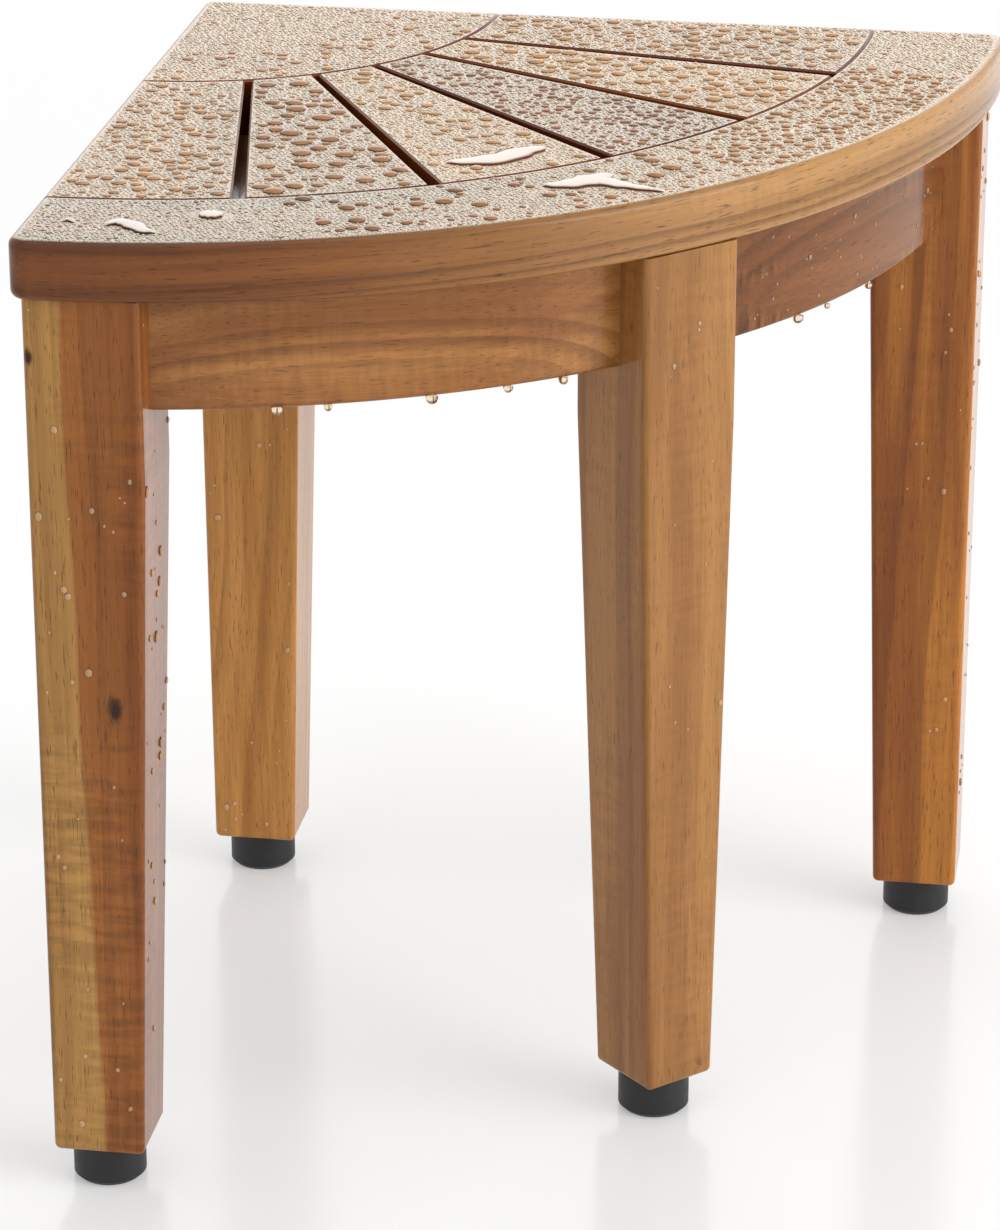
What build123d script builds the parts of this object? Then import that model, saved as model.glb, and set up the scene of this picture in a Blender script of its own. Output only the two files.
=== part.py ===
from build123d import *
import os
from math import asin, cos, degrees, radians, sin, sqrt

# Corner shower foot rest: a quarter-round slatted seat on four tapered legs with screw-in feet.
# Sizes are millimetres. Z is up and the floor is Z = 0.
# Plan sizes are set out from the seat's square back corner, called the datum.
# The left side runs from the datum along -Y and the back side along +X.
# A plan angle is measured at the datum, from 0 on the left side to 90 on the back side.
# The left half is the part of the foot rest before the diagonal. The back half is its mirror image.

# Overall sizes
height = 305.0
seat_side = 264.5
seat_thickness = 18.0

# Seat layout
corner_block_radius = 98.5
rim_width = 42.5
slot_count = 5
slot_pitch = 17.2
fan_apex = 20.5
slot_width_inner = 2.2
slot_width_outer = 3.8
slot_overrun = 6.0
seat_edge_round = 2.5
seat_back_round = 3.5
seat_front_round = 6.0
groove_ease = 0.8
slot_ease = 0.6
butt_gap = 0.1

# Dowels that carry the slats
dowel_diameter = 6.0
dowel_length = 24.0
dowel_clearance = 0.05
dowel_end_space = 0.5
dowel_pair_angle = 7.2

# Legs
leg_top = 34.5
leg_foot = 28.0
middle_leg_foot = 25.0
leg_side_inset = 3.0
leg_end_inset = 4.0
middle_leg_inset = 1.0
taper_drop = 20.0
leg_edge_round = 2.0

# Aprons and their tenons
apron_height = 36.5
apron_thickness = 18.0
side_apron_setback = 8.0
front_apron_setback = 13.0
apron_edge_round = 1.5
tenon_length = 12.0
tenon_thickness = 8.0
tenon_shoulder = 6.0
tenon_root = 6.0
tenon_clearance = 0.1

# Cleats that hold the seat down at the straight sides
cleat_section = 16.0
cleat_corner_gap = 3.0
cleat_end_space = 10.0
cleat_edge_round = 1.0
screw_end_space = 14.0

# Countersunk screws
screw_diameter = 4.0
screw_head = 8.0
screw_length = 28.0
screw_clearance = 0.1

# Feet
foot_height = 13.3
foot_diameter = 22.3
foot_bottom_chamfer = 1.5
foot_top_chamfer = 0.6
plate_diameter = 16.0
plate_thickness = 2.0
plate_clearance = 0.05
stud_diameter = 8.0
stud_length = 28.0
stud_clearance = 0.1
stud_chamfer = 0.8
stud_well_space = 6.0
insert_diameter = 12.0
insert_length = 15.0
insert_flange_diameter = 15.0
insert_flange_thickness = 1.2
insert_clearance = 0.05

# Places worked out from the sizes above
underside = height - seat_thickness
mid_seat = height - seat_thickness / 2
rim_radius = seat_side - rim_width
apron_bottom = underside - apron_height
taper_start = apron_bottom - taper_drop
leg_inner_face = leg_side_inset + leg_top
end_leg_face = seat_side - leg_end_inset
end_leg_inner_face = end_leg_face - leg_top
middle_leg_face = seat_side - middle_leg_inset
side_apron_outer = leg_side_inset + side_apron_setback
side_apron_inner = side_apron_outer + apron_thickness
front_apron_outer = seat_side - front_apron_setback
front_apron_inner = front_apron_outer - apron_thickness
front_apron_middle = (front_apron_outer + front_apron_inner) / 2
cleat_start = side_apron_inner + cleat_section + cleat_corner_gap
cleat_finish = end_leg_inner_face - cleat_end_space
screw_seat = underside - cleat_section
diagonal = 45.0
symmetry_plane = Plane(origin=(0, 0, 0), x_dir=(0, 0, 1), z_dir=(1, 1, 0))
beyond = 2 * seat_side
below = Box(beyond, beyond, beyond, align=(Align.CENTER, Align.CENTER, Align.MAX))


def polar(radius, angle, level=0.0):
    """A point at a radius from the datum and a plan angle."""
    return (radius * sin(radians(angle)), -radius * cos(radians(angle)), level)


def outward(angle):
    """The turn about Z that points local +X away from the datum at a plan angle."""
    return Rot(0, 0, angle - 90)


def mirrored(shape):
    """The same piece in the other half."""
    return mirror(shape, about=symmetry_plane)


def both_halves(shapes):
    """Shapes of the left half together with their mirror images."""
    return shapes + [mirrored(shape) for shape in shapes]


def upright_rod(radius, bottom, top):
    """A plain cylinder about the local Z axis between two levels."""
    return Pos(0, 0, bottom) * Cylinder(radius, top - bottom, align=(Align.CENTER, Align.CENTER, Align.MIN))


def band(inner, outer, bottom, top):
    """A full round band about the datum between two levels."""
    return upright_rod(outer, bottom, top) - upright_rod(inner, bottom, top)


def seat_blank():
    """The whole seat before it is divided: a quarter disc with rounded corners and edges."""
    square = Rectangle(seat_side, seat_side, align=(Align.MIN, Align.MAX))
    outline = Circle(seat_side) & square
    corners = outline.vertices().sort_by(lambda corner: Vector(corner.X, corner.Y).length)
    outline = fillet(corners[0], seat_back_round)
    corners = outline.vertices().sort_by(lambda corner: Vector(corner.X, corner.Y).length)
    outline = fillet(corners[-2:], seat_front_round)
    blank = Pos(0, 0, underside) * extrude(outline, seat_thickness)
    return fillet(blank.faces().filter_by(Axis.Z).edges(), seat_edge_round)


def joint_groove(radius):
    """The V left by the eased edges along a round joint."""
    vee = Polygon(
        (radius - 2 * groove_ease, height + groove_ease),
        (radius + 2 * groove_ease, height + groove_ease),
        (radius, height - groove_ease),
        align=None,
    )
    return revolve(Plane.XZ * vee, Axis.Z)


def slot_angle(number):
    """The direction of one slot's centre line. The slots fan out evenly about the diagonal."""
    return diagonal + slot_pitch * (number - (slot_count - 1) / 2)


def slot_reach(number, radius):
    """How far from the fan's apex a slot's centre line meets a radius about the datum."""
    apex = Vector(fan_apex, -fan_apex)
    along = apex.dot(Vector(*polar(1, slot_angle(number))))
    return sqrt(along**2 - apex.length**2 + radius**2) - along


def slot_crossing(number, radius):
    """The plan angle at which a slot's centre line meets a radius about the datum."""
    crossing = Vector(fan_apex, -fan_apex) + Vector(*polar(slot_reach(number, radius), slot_angle(number)))
    return degrees(asin(crossing.X / radius))


def slot_outline(number, widening):
    """A slot in plan, wider at the rim, with each side moved out by the widening."""
    start = slot_reach(number, corner_block_radius)
    end = slot_reach(number, rim_radius)
    flare = (slot_width_outer - slot_width_inner) / 2 / (end - start) * slot_overrun
    near = slot_width_inner / 2 - flare + widening
    far = slot_width_outer / 2 + flare + widening
    plan = Polygon(
        (start - slot_overrun, -near),
        (end + slot_overrun, -far),
        (end + slot_overrun, far),
        (start - slot_overrun, near),
        align=None,
    )
    return Pos(fan_apex, -fan_apex) * outward(slot_angle(number)) * plan


def slot_cutter(number):
    """A drain slot through the seat, with eased upper edges."""
    shaft = Pos(0, 0, underside - 1) * extrude(slot_outline(number, 0), seat_thickness + 2)
    lower = Pos(0, 0, height - slot_ease) * slot_outline(number, 0)
    upper = Pos(0, 0, height + slot_ease) * slot_outline(number, 2 * slot_ease)
    return shaft + loft([lower, upper], ruled=True)


def slat_middles(radius):
    """The plan angle of the middle of each slat at a radius."""
    edges = [0] + [slot_crossing(number, radius) for number in range(slot_count)] + [90]
    return [(left + right) / 2 for left, right in zip(edges, edges[1:])]


def inner_dowel_angles():
    """One dowel joins each slat to the corner block."""
    return slat_middles(corner_block_radius)


def outer_dowel_angles():
    """A pair of dowels joins each slat to the front rim."""
    return [middle + side * dowel_pair_angle / 2 for middle in slat_middles(rim_radius) for side in (-1, 1)]


def on_joint(shape, radius, angles):
    """Copies of a shape across a round joint, with local +X away from the datum."""
    return [Pos(*polar(radius, angle, mid_seat)) * outward(angle) * shape for angle in angles]


def dowels(radius, angles):
    """The dowels in one round joint."""
    rod = Cylinder(dowel_diameter / 2, dowel_length, rotation=(0, 90, 0))
    return on_joint(rod, radius, angles)


def dowel_holes(radius, angles):
    """The holes for the dowels in one round joint."""
    hole = Cylinder(
        dowel_diameter / 2 + dowel_clearance, dowel_length + 2 * dowel_end_space, rotation=(0, 90, 0)
    )
    return on_joint(hole, radius, angles)


def screw(grow=0.0):
    """A countersunk screw along +Z with its head's face at the origin, or its hole when grown."""
    shank = screw_diameter / 2 + grow
    head = screw_head / 2 + grow
    profile = Polygon(
        (0, 0),
        (head, 0),
        (shank, head - shank),
        (shank, screw_length + grow),
        (0, screw_length + grow),
        align=None,
    )
    return revolve(Plane.XZ * profile, Axis.Z)


def seat_screw_places():
    """Where the left half's upright screws enter: three in the cleat and two in the curved apron."""
    line = side_apron_inner + cleat_section / 2
    first = cleat_start + screw_end_space
    last = cleat_finish - screw_end_space
    places = [Pos(line, -y, screw_seat) for y in (first, (first + last) / 2, last)]
    for number in (0, 1):
        places.append(Pos(*polar(front_apron_middle, slot_crossing(number, rim_radius), screw_seat)))
    return places


def seat_screws(grow=0.0):
    """The upright screws that hold the seat to its cleats and curved aprons, or their holes."""
    return both_halves([place * screw(grow) for place in seat_screw_places()])


def cleat_screws(grow=0.0):
    """The level screws that hold a cleat to its apron, between the upright ones, or their holes."""
    uprights = [-place.position.Y for place in seat_screw_places()[:3]]
    halfway = [(first + second) / 2 for first, second in zip(uprights, uprights[1:])]
    level = underside - cleat_section / 2
    head_face = side_apron_inner + cleat_section
    return both_halves([Pos(head_face, -y, level) * Rot(0, -90, 0) * screw(grow) for y in halfway])


def divided_seat():
    """The corner block, the slats from left to back and the front rim, drilled for their fixings."""
    blank = seat_blank() - joint_groove(corner_block_radius) - joint_groove(rim_radius)
    blank -= seat_screws(screw_clearance)
    blank -= dowel_holes(corner_block_radius, inner_dowel_angles())
    blank -= dowel_holes(rim_radius, outer_dowel_angles())
    half_gap = butt_gap / 2
    block = blank & upright_rod(corner_block_radius - half_gap, underside, height)
    rim = blank - upright_rod(rim_radius + half_gap, underside - 1, height + 1)
    fan = blank & band(corner_block_radius + half_gap, rim_radius - half_gap, underside, height)
    fan -= [slot_cutter(number) for number in range(slot_count)]
    slats = fan.solids().sort_by(lambda slat: slat.center().X + slat.center().Y)
    return block, slats, rim


def tenon(x, y, turn, grow=0.0):
    """A tenon with its shoulder at a plan point, pointing at a turn from +X, or its mortise."""
    tongue = Box(
        tenon_root + tenon_length + grow,
        tenon_thickness + 2 * grow,
        apron_height - 2 * tenon_shoulder + 2 * grow,
        align=(Align.MIN, Align.CENTER, Align.CENTER),
    )
    middle = apron_bottom + apron_height / 2
    return Pos(x, y, middle) * Rot(0, 0, turn) * Pos(-tenon_root, 0, 0) * tongue


def side_tenons(grow=0.0):
    """The left apron's tenons: the first enters the back leg and the second the left leg."""
    line = (side_apron_outer + side_apron_inner) / 2
    return [tenon(line, -leg_inner_face, 90, grow), tenon(line, -end_leg_inner_face, -90, grow)]


def front_tenons(grow=0.0):
    """The left curved apron's tenons: the first enters the left leg and the second the middle leg."""
    at_left_leg = sqrt(front_apron_middle**2 - leg_inner_face**2)
    half_leg = leg_top / 2
    along_diagonal = sqrt(front_apron_middle**2 - half_leg**2)
    shoulder = Vector(*polar(along_diagonal, diagonal)) - Vector(*polar(half_leg, diagonal + 90))
    return [
        tenon(leg_inner_face, -at_left_leg, 180, grow),
        tenon(shoulder.X, shoulder.Y, diagonal, grow),
    ]


def side_apron():
    """The straight left apron between the back leg and the left leg."""
    length = end_leg_inner_face - leg_inner_face
    board = Box(apron_thickness, length, apron_height, align=(Align.MIN, Align.MAX, Align.MIN))
    board = Pos(side_apron_outer, -leg_inner_face, apron_bottom) * board
    lower_edges = board.faces().sort_by(Axis.Z)[0].edges().filter_by(Axis.Y)
    board = fillet(lower_edges, apron_edge_round)
    return board + side_tenons() - cleat_screws(screw_clearance)


def front_apron():
    """The left curved apron between the left leg and the middle leg."""
    curve = band(front_apron_inner, front_apron_outer, apron_bottom, underside)
    right_of_leg = Box(beyond, beyond, beyond, align=(Align.MIN, Align.MAX, Align.CENTER))
    curve &= Pos(leg_inner_face, 0, underside) * right_of_leg
    left_of_diagonal = Box(beyond, beyond, beyond, align=(Align.MIN, Align.MAX, Align.CENTER))
    shift = Pos(*polar(leg_top / 2, diagonal - 90, underside))
    curve &= shift * outward(diagonal) * left_of_diagonal
    lower_edges = curve.faces().sort_by(Axis.Z)[0].edges().filter_by(GeomType.CIRCLE)
    curve = fillet(lower_edges, apron_edge_round)
    head_wells = [
        place * upright_rod(screw_head / 2 + screw_clearance, -apron_height, 0)
        for place in seat_screw_places()[3:]
    ]
    return curve + front_tenons() - seat_screws(screw_clearance) - head_wells


def leg_side(plane, across, foot_width):
    """A leg's side view on a plane, drawn in by the edge round and extruded right through."""
    left_share = {Align.MIN: 0, Align.CENTER: 0.5}[across]
    sections = [(foot_height, foot_width), (taper_start, leg_top), (height, leg_top)]
    right_edge = [((1 - left_share) * size, level) for level, size in sections]
    left_edge = [(-left_share * size, level) for level, size in reversed(sections)]
    outline = offset(Polygon(*right_edge, *left_edge, align=None), -leg_edge_round)
    return extrude(plane * outline, beyond, both=True)


def leg_body(across, foot_width):
    """A leg with its outward face on local Y = 0. It tapers towards the foot on its other faces."""
    core = leg_side(Plane.XZ, across, foot_width) & leg_side(Plane.YZ, Align.MIN, leg_foot)
    body = offset(core, leg_edge_round) & Pos(0, 0, underside) * below
    foot_axis = Pos(0 if across == Align.CENTER else foot_width / 2, leg_foot / 2)
    return body - foot_axis * stud_hole(), foot_axis


def corner_leg(x, y, turn, mortises):
    """A leg with two plumb outer faces that meet at a plan point."""
    body, foot_axis = leg_body(Align.MIN, leg_foot)
    place = Pos(x, y) * Rot(0, 0, turn)
    return place * body - mortises, place * foot_axis


def middle_leg(mortises):
    """The leg under the middle of the front rim, slimmer at the foot. Only its outward face is plumb."""
    body, foot_axis = leg_body(Align.CENTER, middle_leg_foot)
    place = Pos(*polar(middle_leg_face, diagonal)) * Rot(0, 0, diagonal)
    return place * body - mortises, place * foot_axis


def side_cleat():
    """The square batten inside the left apron that the seat is screwed to."""
    batten = Box(
        cleat_section,
        cleat_finish - cleat_start,
        cleat_section,
        align=(Align.MIN, Align.MAX, Align.MAX),
    )
    batten = Pos(side_apron_inner, -cleat_start, underside) * batten
    inner_face = batten.faces().sort_by(Axis.X)[-1]
    batten = chamfer(inner_face.edges().filter_by(Axis.Y).sort_by(Axis.Z)[0], cleat_edge_round)
    return batten - seat_screws(screw_clearance) - cleat_screws(screw_clearance)


def stud_hole():
    """The stepped hole in a leg's end for a threaded insert and the stud above it."""
    mouth = foot_height - 1
    flange = upright_rod(
        insert_flange_diameter / 2 + insert_clearance, mouth, foot_height + insert_flange_thickness
    )
    bore = upright_rod(insert_diameter / 2 + insert_clearance, mouth, foot_height + insert_length)
    well = upright_rod(
        stud_diameter / 2 + stud_clearance, mouth, foot_height + stud_length + stud_well_space
    )
    return flange + bore + well


def foot_insert():
    """The flanged threaded insert in a leg's end."""
    sleeve = upright_rod(insert_diameter / 2, foot_height, foot_height + insert_length)
    flange = upright_rod(insert_flange_diameter / 2, foot_height, foot_height + insert_flange_thickness)
    bore = upright_rod(stud_diameter / 2 + stud_clearance, foot_height, foot_height + insert_length)
    return sleeve + flange - bore


def foot_stud():
    """The levelling stud with the plate that the rubber is moulded round."""
    plate = upright_rod(plate_diameter / 2, foot_height - plate_thickness, foot_height)
    shank = upright_rod(stud_diameter / 2, foot_height, foot_height + stud_length)
    shank = chamfer(shank.edges().sort_by(Axis.Z)[-1], stud_chamfer)
    return plate + shank


def foot_pad():
    """The rubber foot, with the plate let into its top."""
    pad = upright_rod(foot_diameter / 2, 0, foot_height)
    pad = chamfer(pad.faces().sort_by(Axis.Z)[0].edges(), foot_bottom_chamfer)
    pad = chamfer(pad.faces().sort_by(Axis.Z)[-1].edges(), foot_top_chamfer)
    recess = upright_rod(
        plate_diameter / 2 + plate_clearance,
        foot_height - plate_thickness - plate_clearance,
        foot_height + 1,
    )
    return pad - recess


def foot_rest():
    """Every piece by name, set out from the datum."""
    block, slats, rim = divided_seat()
    pieces = {"seat_corner_block": block, "seat_front_rim": rim}
    for number, slat in enumerate(slats, 1):
        pieces[f"seat_slat_{number}"] = slat
    pieces["slat_dowels_inner"] = dowels(corner_block_radius, inner_dowel_angles())
    pieces["slat_dowels_outer"] = dowels(rim_radius, outer_dowel_angles())
    pieces["left_apron"] = side_apron()
    pieces["back_apron"] = mirrored(pieces["left_apron"])
    pieces["front_apron_left"] = front_apron()
    pieces["front_apron_right"] = mirrored(pieces["front_apron_left"])
    pieces["left_cleat"] = side_cleat()
    pieces["back_cleat"] = mirrored(pieces["left_cleat"])
    pieces["seat_screws"] = seat_screws()
    pieces["cleat_screws"] = cleat_screws()

    back_mortise, left_mortise = side_tenons(tenon_clearance)
    left_front_mortise, middle_mortise = front_tenons(tenon_clearance)
    legs = {
        "left": corner_leg(leg_side_inset, -end_leg_face, 0, [left_mortise, left_front_mortise]),
        "back": corner_leg(leg_side_inset, -leg_side_inset, -90, both_halves([back_mortise])),
        "right": corner_leg(
            end_leg_face, -leg_side_inset, 180, [mirrored(left_mortise), mirrored(left_front_mortise)]
        ),
        "middle": middle_leg(both_halves([middle_mortise])),
    }
    for name, (leg, foot_axis) in legs.items():
        pieces[f"{name}_leg"] = leg
        pieces[f"{name}_leg_insert"] = foot_axis * foot_insert()
        pieces[f"{name}_foot_stud"] = foot_axis * foot_stud()
        pieces[f"{name}_foot_pad"] = foot_axis * foot_pad()
    return pieces


def main():
    """Writes each piece with the origin on the floor under the middle of the seat."""
    os.makedirs("parts", exist_ok=True)
    to_origin = Pos(-seat_side / 2, seat_side / 2)
    for name, piece in foot_rest().items():
        shapes = piece if isinstance(piece, list) else [piece]
        solids = [to_origin * solid for shape in shapes for solid in shape.solids()]
        export_step(Compound(children=solids, label=name), f"parts/{name}.step")


if __name__ == "__main__":
    main()
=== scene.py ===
# %% [markdown]
# # A wet corner foot rest
# The real object is a quarter-round shower foot rest of oiled hardwood: a slatted seat, four tapered
# legs and black rubber feet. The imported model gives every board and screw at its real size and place,
# so this notebook adds only what a size drawing leaves out: the grain, the oil, the rubber, the steel
# and the water that stands on the wood.

# %% Load the model and measure it
import math

import bpy
import numpy as np
from mathutils import Euler, Matrix, Vector


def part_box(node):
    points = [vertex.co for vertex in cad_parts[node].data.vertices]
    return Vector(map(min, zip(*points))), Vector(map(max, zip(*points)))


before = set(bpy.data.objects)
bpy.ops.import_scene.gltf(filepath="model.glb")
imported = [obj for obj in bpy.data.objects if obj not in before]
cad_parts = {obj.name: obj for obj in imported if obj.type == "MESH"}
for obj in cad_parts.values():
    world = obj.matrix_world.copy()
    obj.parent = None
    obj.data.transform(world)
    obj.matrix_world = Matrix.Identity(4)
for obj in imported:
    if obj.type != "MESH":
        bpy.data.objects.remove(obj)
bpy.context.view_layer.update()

mm = 0.001
block_low, block_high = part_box("seat_corner_block")
rim_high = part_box("seat_front_rim")[1]
square_corner = Vector((block_low.x, block_high.y, 0))
seat_top = block_high.z
seat_side = rim_high.x - square_corner.x
print("seat side and height, mm:", round(seat_side / mm), round(seat_top / mm))

# %% [markdown]
# ## The camera
# A long lens from a little above the seat gives the photograph's nearly parallel legs. Blender could aim
# a camera with a Track To constraint, but a solved photograph also has a small roll, so the three axes
# of the camera are worked out here and put into its matrix.

# %% Make the camera
image_long_side = 1230
focal_pixels = 4806.0
camera_place = Vector((213.3, -1385.5, 719.8)) * mm
azimuth = math.radians(9.24)
elevation = math.radians(22.25)
roll = math.radians(-0.04)

back = Vector(
    (math.sin(azimuth) * math.cos(elevation), -math.cos(azimuth) * math.cos(elevation), math.sin(elevation))
)
level_right = Vector((math.cos(azimuth), math.sin(azimuth), 0))
level_up = back.cross(level_right)
right = level_right * math.cos(roll) + level_up * math.sin(roll)
up = back.cross(right)

lens = bpy.data.cameras.new("photograph_camera")
lens.sensor_width = 36.0
lens.lens = focal_pixels / image_long_side * lens.sensor_width
lens.clip_start = 0.05
lens.clip_end = 100.0
camera = bpy.data.objects.new("photograph_camera", lens)
axes = Matrix((right, up, back)).transposed().to_4x4()
camera.matrix_world = Matrix.Translation(camera_place) @ axes
bpy.context.scene.collection.objects.link(camera)
bpy.context.scene.camera = camera
bpy.context.scene.view_settings.view_transform = "Standard"
print("lens, mm:", round(lens.lens, 2))

# %% [markdown]
# ## Small helpers for node graphs
# Materials in code are long because each node takes several lines. Three short functions keep the later
# cells readable: one adds a node and fills or links its inputs, one does sums and one mixes two colours.

# %% Node helpers
def add(tree, kind, values=None, **settings):
    """Adds a shader node. Settings are its own options, and values fill or link its inputs."""
    made = tree.nodes.new("ShaderNode" + kind)
    for name, value in settings.items():
        setattr(made, name, value)
    for key, value in (values or {}).items():
        if isinstance(value, bpy.types.NodeSocket):
            tree.links.new(value, made.inputs[key])
        else:
            made.inputs[key].default_value = value
    return made


def work_out(tree, operation, first, second=0.0, third=0.0):
    """One sum on one or more values."""
    return add(tree, "Math", {0: first, 1: second, 2: third}, operation=operation).outputs[0]


def vector_sum(tree, operation, first, second):
    """One sum on two vectors."""
    return add(tree, "VectorMath", {0: first, 1: second}, operation=operation).outputs["Vector"]


def mix(tree, share, first, second, blend="MIX"):
    """Mixes two colours by a share from 0 to 1."""
    values = {0: share, 6: first, 7: second}
    return add(tree, "Mix", values, data_type="RGBA", blend_type=blend).outputs[2]


def ease(tree, value, low, high, start=0.0, finish=1.0):
    """Takes a value smoothly from start to finish while it goes from low to high."""
    values = {"Value": value, "From Min": low, "From Max": high, "To Min": start, "To Max": finish}
    return add(tree, "MapRange", values, interpolation_type="SMOOTHSTEP").outputs["Result"]


def noise(tree, place, stretch, detail=2.0, roughness=0.5, output="Fac"):
    """Noise whose grains per metre along each axis are given by stretch."""
    scaled = vector_sum(tree, "MULTIPLY", place, stretch)
    values = {"Vector": scaled, "Scale": 1.0, "Detail": detail, "Roughness": roughness}
    return add(tree, "TexNoise", values).outputs[output]


def colour(code, alpha=1.0):
    """A colour written as six hex digits, as linear light."""
    parts = [int(code[i : i + 2], 16) / 255 for i in (0, 2, 4)]
    return tuple(c / 12.92 if c < 0.04045 else ((c + 0.055) / 1.055) ** 2.4 for c in parts) + (alpha,)


def new_group(name, inputs, outputs):
    """An empty node group with named sockets. Each input is a name, a socket type and a value."""
    group = bpy.data.node_groups.new(name, "ShaderNodeTree")
    for title, kind, value in inputs:
        socket = group.interface.new_socket(title, in_out="INPUT", socket_type="NodeSocket" + kind)
        socket.default_value = value
    for title, kind in outputs:
        group.interface.new_socket(title, in_out="OUTPUT", socket_type="NodeSocket" + kind)
    return group, group.nodes.new("NodeGroupInput").outputs, group.nodes.new("NodeGroupOutput")


def use_group(tree, group, values):
    """Places a node group in a material with its own values."""
    return add(tree, "Group", values, node_tree=group).outputs


def new_material(name):
    """A material with its Principled shader, its node tree and its Object coordinates."""
    made = bpy.data.materials.new(name)
    made.use_nodes = True
    tree = made.node_tree
    shader = tree.nodes["Principled BSDF"]
    place = add(tree, "TexCoord").outputs["Object"]
    return made, tree, shader, place


def paint(node, material):
    """Gives a CAD piece a material in every slot of its mesh."""
    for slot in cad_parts[node].material_slots:
        slot.material = material


# %% [markdown]
# ## Floor, backdrop and light
# The photograph was taken on a white sweep with a strong soft light behind the stool, which turns the wet
# seat pale, and a softer one from the right. An image of a studio could light the scene, but three plain
# lamps and a white world can be read and changed. The world shows as white to the camera and in
# reflections, and gives the wood a lower, even light.

# %% The white world
world = bpy.data.worlds.new("white_studio")
bpy.context.scene.world = world
world.use_nodes = True
world_light = 0.62


def seen_directly(tree):
    """1 for what the camera sees, also in gloss and through glass, and 0 for light on surfaces."""
    path = add(tree, "LightPath").outputs
    in_gloss = work_out(tree, "MAXIMUM", path["Is Camera Ray"], path["Is Glossy Ray"])
    return work_out(tree, "MAXIMUM", in_gloss, path["Is Transmission Ray"])


sky = world.node_tree
strength = work_out(sky, "MULTIPLY_ADD", seen_directly(sky), 1.0 - world_light, world_light)
sky.links.new(strength, sky.nodes["Background"].inputs["Strength"])
sky.nodes["Background"].inputs["Color"].default_value = (1.0, 1.0, 1.0, 1.0)

# %% The floor
floor_reach = 9.0
floor_near_edge = 0.30
floor_far_edge = 0.62
floor_mesh = bpy.data.meshes.new("floor")
corners = [(-floor_reach, -floor_reach, 0), (floor_reach, -floor_reach, 0)]
corners += [(floor_reach, floor_reach, 0), (-floor_reach, floor_reach, 0)]
floor_mesh.from_pydata(corners, [], [(0, 1, 2, 3)])
floor = bpy.data.objects.new("floor", floor_mesh)
bpy.context.scene.collection.objects.link(floor)

floor_paint, tree, shader, place = new_material("wet_white_floor")
shader.inputs["Base Color"].default_value = colour("FAFBFB")
shader.inputs["Roughness"].default_value = 0.16
shader.inputs["Specular IOR Level"].default_value = 0.35
away = add(tree, "SeparateXYZ", {0: place}).outputs["Y"]
white_share = ease(tree, away, floor_near_edge, floor_far_edge, 0.30, 0.80)
white_share = work_out(tree, "MULTIPLY", white_share, seen_directly(tree))
glow = add(tree, "Emission", {"Color": (1.0, 1.0, 1.0, 1.0), "Strength": 1.0}).outputs[0]
blend = add(tree, "MixShader", {0: white_share, 1: shader.outputs[0], 2: glow})
clear = add(tree, "BsdfTransparent").outputs[0]
below = add(tree, "NewGeometry").outputs["Backfacing"]
blend = add(tree, "MixShader", {0: below, 1: blend.outputs[0], 2: clear})
tree.links.new(blend.outputs[0], tree.nodes["Material Output"].inputs["Surface"])
floor_mesh.materials.append(floor_paint)
print("floor: fades to white between y, m:", floor_near_edge, floor_far_edge)


# %% The lamps
def soft_lamp(name, place, aim, width, height, radiance):
    """A rectangular soft lamp that looks at a point. Its power is radiance times its area times pi."""
    light = bpy.data.lights.new(name, "AREA")
    light.shape = "RECTANGLE"
    light.size = width
    light.size_y = height
    light.energy = radiance * math.pi * width * height
    lamp = bpy.data.objects.new(name, light)
    lamp.location = place
    lamp.rotation_euler = (Vector(aim) - Vector(place)).to_track_quat("-Z", "Y").to_euler()
    lamp.visible_camera = False
    bpy.context.scene.collection.objects.link(lamp)


seat_middle = (0, 0, seat_top)
soft_lamp("lamp_behind", (-0.34, 2.05, 1.10), seat_middle, 2.6, 1.1, 1.25)
soft_lamp("lamp_right", (1.80, -0.50, 0.85), (0, 0, 0.15), 1.3, 1.3, 4.0)
soft_lamp("lamp_above", (0.1, -0.4, 2.20), seat_middle, 1.4, 1.4, 0.9)

# %% [markdown]
# ## Solid wood
# Oiled hardwood shows growth rings, broad streaks, fine fibre, short dark pores and, here and there, a
# rippled figure. A picture of wood wrapped round each board would show seams where two faces meet. The
# group below is solid instead: it works out the wood at any point of a log that lies along X, so the
# grain runs through a board and comes out right on its ends. Each board is placed in its log by a
# Mapping node, at its own distance from the pith.

# %% The solid wood group
wood_inputs = [
    ("Position", "Vector", (0.0, 0.0, 0.0)),
    ("Pale", "Color", colour("C08A52")),
    ("Middle", "Color", colour("A06C3A")),
    ("Dark", "Color", colour("6C4122")),
    ("Ring Width", "Float", 4.0 * mm),
    ("Ring Strength", "Float", 0.5),
    ("Streak Strength", "Float", 1.0),
    ("Figure Strength", "Float", 0.0),
    ("Pore Strength", "Float", 0.6),
]
solid_wood, given, result = new_group(
    "solid_wood", wood_inputs, [("Color", "Color"), ("Roughness", "Float"), ("Height", "Float")]
)
log = given["Position"]

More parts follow.
